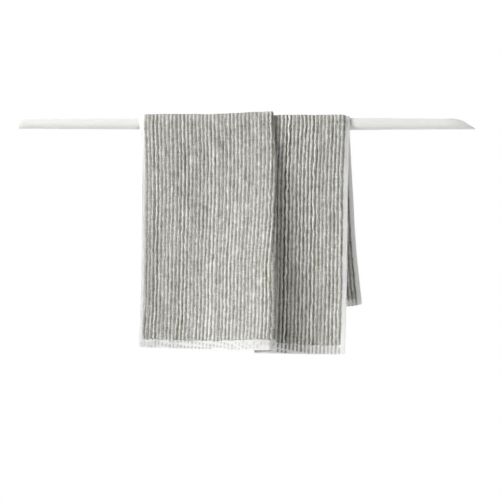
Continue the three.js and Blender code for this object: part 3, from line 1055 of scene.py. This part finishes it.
# Paint on the turned rod: how quickly its grain and brush marks change for each millimetre along X, Y, Z,
# how much of its relief is grain and the rest brush marks, and how much the brush changes its roughness
GRAIN_RATES = (0.02, 0.7, 0.7)
BRUSH_RATES = (0.05, 1.6, 1.6)
GRAIN_SHARE = 0.6
PAINT_RELIEF = 0.1
PAINT_ROUGHNESS = 0.42
BRUSH_ROUGHNESS = 0.12


def pile_material(name, groups, shades):
    """Cotton loops between dark and light yarn, lighter or darker towards the crown of their rib."""
    finish = {"Roughness": 0.95, "Specular_IOR_Level": 0.15, "Sheen_Weight": 0.1, "Sheen_Roughness": 0.6}
    material, tree, shader = new_material(name, **finish)
    marks = {"Crown": mesh_value(tree, "crown"), "Bold": mesh_value(tree, "bold")}
    loops = use_group(tree, groups["pile"], Place=cloth_place(tree), **marks, **shades)
    # Painted shade: where the stripes are boldest, the dark ribs' tone falls to the darkest colour, for the
    # deep gaps beside bold light ribs.
    colour = mix(output(loops, "Tone"), DEEP_YARN_AND_GAP_SHADE, WHITE_YARN)
    # The colour is scaled by the loops' factor, which holds painted shade in the hollows between loops.
    colour = vector_step("SCALE", colour, scale=output(loops, "Nap"))
    plug(colour, shader.inputs["Base Color"])
    add_bump(shader, output(loops, "Height"), LOOP_RELIEF)
    return material


def woven_material(name, groups, seed, **finish):
    """Flat woven cotton: its material and shader, its mottled tone and the height of its threads."""
    material, tree, shader = new_material(name, Roughness=0.9, Specular_IOR_Level=0.2, **finish)
    place = cloth_place(tree)
    threads = output(use_group(tree, groups["weave"], Place=place, Pitch=THREAD_PITCH), "Height")
    tone = output(use_group(tree, groups["mottle"], Place=place, Seed=seed), "Tone")
    add_bump(shader, threads, THREAD_RELIEF)
    return material, shader, tone, threads


def weave_material(name, groups):
    """White cotton of the ground, the hems and the selvedges, which lets some light through."""
    material, shader, tone, threads = woven_material(name, groups, MOTTLE_SEEDS["white"], **COTTON_GLOW)
    # Painted shade: the white cotton is darker where the weave's threads lie low, as well as by its mottle.
    shade = tone * MOTTLE_SHARE + threads * (1 - MOTTLE_SHARE)
    plug(mix(shade, *WOVEN_COTTON_AND_THREAD_SHADE), shader.inputs["Base Color"])
    return material


def yarn_material(name, groups):
    """Flat woven cotton with dark yarn in it, as dark as the mesh says."""
    material, shader, tone, _ = woven_material(name, groups, MOTTLE_SEEDS["dark"])
    ink = mesh_value(tone.tree, "bold") * (YARN_INK + tone * YARN_INK_CHANGE)
    plug(mix(ink, WHITE_YARN, DARK_YARN), shader.inputs["Base Color"])
    return material


def thread_material(name):
    """Twisted sewing thread."""
    material, tree, shader = new_material(name, Roughness=0.7)
    twist = noise(object_place(tree), TWIST_RATE, detail=3.0)
    plug(mix(0.5 + twist, *SEWING_THREAD), shader.inputs["Base Color"])
    add_bump(shader, twist, TWIST_RELIEF)
    return material


def paint_material(name):
    """Matt white paint on turned wood, with a trace of the grain along the rod."""
    material, tree, shader = new_material(name)
    place = object_place(tree)
    grain = noise(vector_step("MULTIPLY", place, GRAIN_RATES), detail=4.0)
    brush = noise(vector_step("MULTIPLY", place, BRUSH_RATES), detail=3.0)
    plug(mix(0.5 + grain, *ROD_PAINT), shader.inputs["Base Color"])
    plug(PAINT_ROUGHNESS + brush * BRUSH_ROUGHNESS, shader.inputs["Roughness"])
    relief = grain * GRAIN_SHARE + brush * (1 - GRAIN_SHARE)
    add_bump(shader, relief, PAINT_RELIEF, strength=0.5)
    return material


# Visual rod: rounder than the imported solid, with slightly eased edges
ROD_RING = 64
ROD_STATION_STEP = 12
ROD_EASE = 0.9
EASE_TURNS = (30, 60, 90)
EASE_CORNER = 0.3
END_RINGS = (0.985, 0.94, 0.8, 0.6, 0.4, 0.2)


def rod_rings():
    """Rings of points round the rod, from the middle of its left end to the middle of its right end."""
    turn = np.linspace(0, 2 * math.pi, ROD_RING, endpoint=False)
    rings = []

    def ring(x, radius):
        rings.append(np.stack((x + 0 * turn, -radius * np.cos(turn), radius * np.sin(turn)), axis=1))

    def slant(share):
        return np.interp(share * np.sin(turn), ROD_END["height"], ROD_END["x"])

    left = float(follow(ROD_TAPER, "x", "radius", 0))
    right = ROD_TAPER["radius"][-1]
    for share in reversed(END_RINGS):
        ring(0, share * (left - ROD_EASE) / END_RINGS[0])
    for lean in np.radians(EASE_TURNS):
        ring(ROD_EASE * (1 - math.cos(lean)), left - ROD_EASE * (1 - math.sin(lean)))
    for x in np.arange(ROD_STATION_STEP, ROD_TAPER["x"][-1], ROD_STATION_STEP):
        ring(x, float(follow(ROD_TAPER, "x", "radius", x)))
    ring(ROD_TAPER["x"][-1], right)
    for eased, cut in ((1, 0), (EASE_CORNER, EASE_CORNER)):
        ring(slant(1) - ROD_EASE * eased, right - ROD_EASE * cut)
    for share in END_RINGS:
        ring(slant(share), share * (right - ROD_EASE) / END_RINGS[0])
    return rings


def make_rod(material):
    """The turned rod, square at its left end and cut on a slant at its right."""
    rings = rod_rings()
    tips = np.array(((0, 0, 0), (float(np.interp(0, ROD_END["height"], ROD_END["x"])), 0, 0)))
    count = len(rings) * ROD_RING
    last = count - ROD_RING
    faces = []
    for i in range(ROD_RING):
        j = (i + 1) % ROD_RING
        faces += [(r + i, r + j, r + j + ROD_RING, r + i + ROD_RING) for r in range(0, last, ROD_RING)]
        faces += [(count, j, i), (count + 1, last + i, last + j)]
    return finish_mesh("rod_body", build_mesh(np.concatenate((*rings, tips)), faces, {}), material)


# The stripes' ribs: light ones stand up, dark ones lie lower between them and run under their edges. Base
# is how far a rib's flat side is from the middle of the cloth, Height how far its crown stands out from it.
LIGHT_RIB = {"Width": 4.7 * MM, "Height": 0.65 * MM, "Base": 1.15 * MM, "Swell": 0.5}
DARK_RIB = {"Width": 6.4 * MM, "Height": 0.55 * MM, "Base": 0.95 * MM, "Swell": -0.4}
RIB_NOISE = {
    "Ragged": 1.2 * MM,
    "Wander": 1.3 * MM,
    "Drift": 1.3 * MM,
    "Jitter": 2.0 * MM,
    "Hook": 2.0 * MM,
    "Uneven": 0.7,
}
RIB_ROWS = {"outer": 270, "inner": 150}
FACES = {"outer": 1.0, "inner": -1.0}
BACK_PILE_START = 13.5


def make_ribs(tree, cloth, light, dark):
    """Light and dark ribs on both faces of the cloth."""
    cloth.mark("bold", follow(BOLDNESS, "across", "share", cloth.across))
    cloth.mark("start", follow(PILE_LINE, "across", "start", cloth.across) * MM)
    cloth.mark("stop", np.full_like(cloth.across, (CLOTH_LENGTH - BACK_PILE_START) * MM))
    place = {"Pitch": RIB_PITCH * MM, "Edge": 0.0, "Way": 1.0, "Slot": 0.0, "Slots": 1.0}
    limits = {"Lowest": 0.0, "Highest": CLOTH_LENGTH * MM}
    ribs = []
    for side, face in FACES.items():
        for kind, material, count, first, shape, seed in (
            ("light", light, LIGHT_RIBS, FIRST_LIGHT_RIB, LIGHT_RIB, 11.0),
            ("dark", dark, DARK_RIBS, FIRST_DARK_RIB, DARK_RIB, 23.0),
        ):
            sizes = dict(place, **limits, **shape, **RIB_NOISE)
            sizes.update(Ribs=count, Rows=RIB_ROWS[side], First=first * MM, Face=face, Seed=seed + face)
            ribs.append(grow(f"{kind}_ribs_{side}", tree, cloth, material, sizes))
    return ribs


# Dark yarn that floats as dashes in the hems. Each table is one line of dashes, as the distances of their
# two ends from the hem's edge, by distance across the flat cloth.
FRONT_DASHES = (
    (
        (8, 1.5, 12), (29, 1.5, 12), (36, 3, 16), (44, 6.6, 15.5), (52, 4.5, 11), (68, 2, 8.3),
        (99, 1.6, 7.4), (115, 1.2, 5.6), (154, 0.8, 4),
    ),
    ((59, 14, 17), (99, 11.4, 16), (120, 10.3, 15), (160, 5.6, 10), (200, 1, 2.5)),
    ((152, 16, 20), (174, 11.8, 16), (190, 8, 12.8), (205, 1.7, 6.2), (213, 1, 3)),
    ((198, 13, 18), (211, 8.5, 14), (219, 2.7, 8), (229, 1, 4)),
    ((214, 14.7, 19), (225, 10.5, 15.5), (233, 4, 10.3), (241, 1, 4)),
    ((236, 13.4, 19), (247, 4.1, 11), (252, 1, 4)),
    ((250, 11.4, 19.6), (266, 10, 15.5), (284, 8, 16), (350, 2, 8)),
    ((357, 5, 11), (370, 3.2, 9), (388, 1.6, 5.6)),
    ((355, 14, 22), (376, 11, 22), (391, 8.5, 22), (406, 5.5, 21), (424, 2.5, 19)),
    ((427, 1.4, 20), (446, 1.5, 21), (460, 1.6, 20), (474, 1.5, 20)),
    ((477, 1.2, 20), (482, 1.2, 21), (486, 1.2, 18), (492, 1.2, 11)),
)
BACK_DASHES = (
    ((8, 8, 14), (140, 9, 15), (330, 7, 13), (466, 10, 18), (480, 8, 14.5), (492, 4.5, 14.3)),
    ((8, 1, 4), (140, 1, 5), (330, 1, 4), (492, 1, 3)),
)
# How dark the dashes are, from the white of the weave to the dark yarn
INK = table(
    "across front back",
    (0, 0.12, 0.5), (28, 0.16, 0.5), (40, 0.34, 0.5), (52, 0.36, 0.5), (140, 0.4, 0.5),
    (200, 0.32, 0.5), (270, 0.3, 0.5), (340, 0.6, 0.5), (365, 0.78, 0.5), (405, 0.74, 0.5),
    (430, 0.56, 0.55), (456, 0.48, 0.6), (474, 0.48, 0.6), (481, 0.6, 0.6), (490, 0.48, 0.6),
)
DASH = {
    "Width": 4.0 * MM,
    "Height": 0.2 * MM,
    "Base": 1.04 * MM,
    "Ragged": 0.5 * MM,
    "Wander": 0.6 * MM,
    "Jitter": 0.3 * MM,
    "Uneven": 0.5,
    "Lowest": 0.8 * MM,
    "Highest": (HEM_DEPTH + 1.0) * MM,
    "Ribs": DARK_RIBS,
    "Rows": 7,
    "First": FIRST_DARK_RIB * MM,
    "Pitch": RIB_PITCH * MM,
    "Seed": 41.0,
}
# How far a dash goes beyond its table at each end
DASH_EASE = {"low": -0.4, "high": 0.4}
# Each hem's edge along the cloth, and the way from it into the cloth
HEMS = {"front": {"Edge": 0.0, "Way": 1.0}, "back": {"Edge": CLOTH_LENGTH * MM, "Way": -1.0}}


def join(name, pieces):
    """Several pieces made one."""
    target = pieces[0]
    with bpy.context.temp_override(active_object=target, selected_editable_objects=pieces):
        bpy.ops.object.join()
    target.name = name
    target.data.name = name
    return target


def make_dashes(tree, cloth, material):
    """Dashes of dark yarn on both faces of both hems."""
    dashes = []
    for hem, lines in (("front", FRONT_DASHES), ("back", BACK_DASHES)):
        cloth.mark("bold", follow(INK, "across", hem, cloth.across))
        for side, face in FACES.items():
            made = []
            for number, rows in enumerate(lines):
                line = table("across low high", *rows)
                inside = (cloth.across >= line["across"][0]) & (cloth.across <= line["across"][-1])
                for mark, column in (("start", "low"), ("stop", "high")):
                    end = np.interp(cloth.across, line["across"], line[column]) + DASH_EASE[column]
                    cloth.mark(mark, inside * end * MM)
                sizes = dict(DASH, **HEMS[hem], Face=face, Slot=float(number), Slots=float(len(lines)))
                made.append(grow("dash line", tree, cloth, material, sizes))
            dashes.append(join(f"dashes_{hem}_{side}", made))
    return dashes


# The zigzag of thread that holds each hem down on the inner face
SEAM = {"Step": 3.1 * MM, "Low": 3.6 * MM, "High": 7.6 * MM, "Lift": 1.15 * MM, "Thread": 0.45 * MM}
SEAM_FROM = 8


def make_seam_tree():
    """A zigzag of thread along a hem of the laid cloth, on its inner face."""
    numbers = "First Step Low High Edge Way Lift Thread"
    inputs = sockets(geometry="Cloth", count="Stitches", number=numbers, material="Material")
    tree, get, end = new_tree("zigzag seam", "GeometryNodeTree", inputs, sockets(geometry="Mesh"))
    line = read(tree, "GeometryNodeMeshLine", "Mesh", Count=get["Stitches"])
    index = read(tree, "GeometryNodeInputIndex", "Index")
    across = get["First"] + index * get["Step"]
    reach = get["Low"] + (get["High"] - get["Low"]) * calculate(tree, "MODULO", index, 2.0)
    along = get["Edge"] + get["Way"] * reach
    place = over_cloth(get["Cloth"], across, along, get["Lift"] * -1.0)
    moved = geometry_step("SetPosition", line, Position=place)
    curve = read(tree, "GeometryNodeMeshToCurve", "Curve", Mesh=moved)
    ring = {"Resolution": 6, "Radius": get["Thread"]}
    profile = read(tree, "GeometryNodeCurvePrimitiveCircle", "Curve", **ring)
    tube = {"Curve": curve, "Profile_Curve": profile, "Fill_Caps": True}
    close_tree(read(tree, "GeometryNodeCurveToMesh", "Mesh", **tube), get["Material"], end)
    return tree


def make_seams(tree, cloth, material):
    """The zigzag seams of both hems."""
    seams = []
    count = int((CLOTH_WIDTH - 2 * SEAM_FROM) / (SEAM["Step"] / MM)) + 1
    for hem, place in HEMS.items():
        sizes = dict(SEAM, Stitches=count, First=SEAM_FROM * MM, **place)
        seams.append(grow(f"zigzag_seam_{hem}", tree, cloth, material, sizes))
    return seams


# Stage: the camera's centre and width of view are the photo's, by the size of the cloth
VIEW_CENTRE = (479.3, -20, -261.3)
VIEW_WIDTH = 1033
CAMERA_DISTANCE = 5000
FLOOR_LEVEL = -1100
FLOOR_RADIUS = 1500
# Light from the room is dim in front and full behind, and changes between these two parts of the way back
ROOM_LEVEL = 0.05
ROOM_FADE = (-0.25, 0.45)
# Soft square lights, turned from straight ahead to the left and raised, in degrees. Their sizes, their
# distance and the point that they face are in metres.
LIGHT_DISTANCE = 12
LIGHT_AIM = (0.45, 0.0, -0.2)
LIGHTS = {
    "key": {"turn": 67, "height": 14, "size": 4, "power": 1750},
    "top": {"turn": 50, "height": 41, "size": 3.4, "power": 610},
    "fill": {"turn": -52, "height": -17, "size": 4, "power": 455},
}


def make_floor():
    """A plain pale round floor below the hanging cloth."""
    bpy.ops.mesh.primitive_circle_add(
        vertices=96,
        radius=FLOOR_RADIUS * MM,
        fill_type="NGON",
        location=(VIEW_CENTRE[0] * MM, 0, FLOOR_LEVEL * MM),
    )
    floor_piece = bpy.context.object
    floor_piece.name = "floor"
    material, _, _ = new_material("pale floor", Roughness=0.8, Base_Color=PALE_FLOOR)
    floor_piece.data.materials.append(material)


def add_light(name, turn, height, size, power):
    """A soft square light that faces the cloth."""
    data = bpy.data.lights.new(name, "AREA")
    data.size = size
    data.energy = power
    light = bpy.data.objects.new(name, data)
    turn = math.radians(turn)
    height = math.radians(height)
    away = Vector((
        -math.sin(turn) * math.cos(height),
        -math.cos(turn) * math.cos(height),
        math.sin(height),
    ))
    light.location = Vector(LIGHT_AIM) + away * LIGHT_DISTANCE
    light.rotation_euler = away.to_track_quat("Z", "Y").to_euler()
    bpy.context.scene.collection.objects.link(light)


def make_world():
    """White behind everything, and a dimmer room in front that the camera doesn't see."""
    world = bpy.data.worlds.new("studio")
    world.use_nodes = True
    tree = world.node_tree
    tree.nodes.clear()
    parts = add_node(
        tree, "ShaderNodeSeparateXYZ", Vector=read(tree, "ShaderNodeTexCoord", "Generated")
    )
    depth = read(
        tree,
        "ShaderNodeMapRange",
        "Result",
        {"interpolation_type": "SMOOTHSTEP"},
        Value=output(parts, "Y"),
        From_Min=ROOM_FADE[0],
        From_Max=ROOM_FADE[1],
        To_Min=ROOM_LEVEL,
        To_Max=1.0,
    )
    white = (1.0, 1.0, 1.0, 1.0)
    around = read(tree, "ShaderNodeBackground", "Background", Color=white, Strength=depth)
    seen = read(tree, "ShaderNodeBackground", "Background", Color=white, Strength=1.0)
    choice = tree.nodes.new("ShaderNodeMixShader")
    end = tree.nodes.new("ShaderNodeOutputWorld")
    plug(read(tree, "ShaderNodeLightPath", "Is Camera Ray"), choice.inputs[0])
    plug(around, choice.inputs[1])
    plug(seen, choice.inputs[2])
    tree.links.new(choice.outputs[0], end.inputs["Surface"])
    bpy.context.scene.world = world


def make_camera():
    """A long lens straight in front, at the photo's framing."""
    data = bpy.data.cameras.new("camera")
    data.sensor_width = 36
    data.lens = data.sensor_width * CAMERA_DISTANCE / VIEW_WIDTH
    data.clip_end = 50
    camera = bpy.data.objects.new("camera", data)
    x, y, z = VIEW_CENTRE
    camera.location = (x * MM, (y - CAMERA_DISTANCE) * MM, z * MM)
    camera.rotation_euler = (math.pi / 2, 0, 0)
    bpy.context.scene.collection.objects.link(camera)
    bpy.context.scene.camera = camera


def main():
    groups = {"pile": make_pile_group(), "weave": make_weave_group(), "mottle": make_mottle_group()}
    light_pile = pile_material("light pile", groups, LIGHT_LOOPS)
    dark_pile = pile_material("dark pile", groups, DARK_LOOPS)
    flat_weave = weave_material("flat weave", groups)
    hem_yarn = yarn_material("dark yarn in the hems", groups)
    thread = thread_material("sewing thread")
    rod_paint = paint_material("rod paint")

    rib_tree = make_rib_tree()
    cloth = LaidCloth()
    ground = make_ground(flat_weave)
    ribs = make_ribs(rib_tree, cloth, light_pile, dark_pile)
    dashes = make_dashes(rib_tree, cloth, hem_yarn)
    seams = make_seams(make_seam_tree(), cloth, thread)
    rod = make_rod(rod_paint)

    make_floor()
    make_world()
    make_camera()
    bpy.context.scene.view_settings.view_transform = "Standard"
    for name, light in LIGHTS.items():
        add_light(name, **light)

    for piece in [ground, *ribs, *dashes, *seams, rod]:
        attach(piece, "root")
    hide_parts("towel")
    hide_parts("rod")


main()
